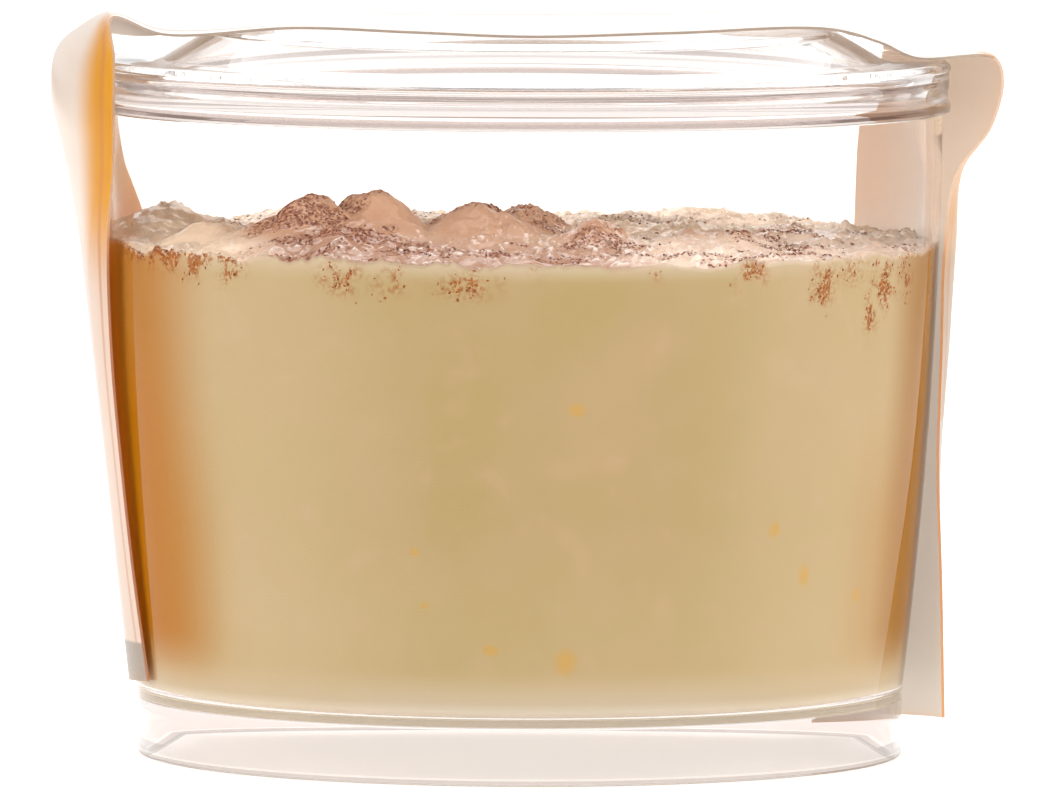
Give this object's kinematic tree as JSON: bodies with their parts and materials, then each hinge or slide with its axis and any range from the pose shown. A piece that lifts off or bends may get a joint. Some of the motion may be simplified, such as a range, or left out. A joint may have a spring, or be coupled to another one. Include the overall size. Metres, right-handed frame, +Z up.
{
  "type": "rice pudding in a lidded tub",
  "caption": "Clear round dessert tub on a foot ring, filled with creamy rice pudding dusted with cinnamon, shut by a press-on lid with a label band over the lid and down both sides.",
  "frame": {"origin": "centre of the foot ring, on the surface that the tub stands on", "axes": "+Z up along the tub's axis, +X along the label band towards the side where it hangs free, -Y towards the side seen in front"},
  "size_m": [0.1046, 0.095, 0.0827],
  "materials": {
    "clear_cup": "clear thin moulded plastic, polished",
    "clear_lid": "clear thin moulded plastic, polished",
    "pudding": "soft wet cream with rice grains, cinnamon on top",
    "label": "coated label stock, glossy print outside, off-white inside"
  },
  "bodies": {
    "root": {"cup": "clear_cup", "lid": "clear_lid", "pudding": "pudding", "band": "label"}
  },
  "joints": []
}
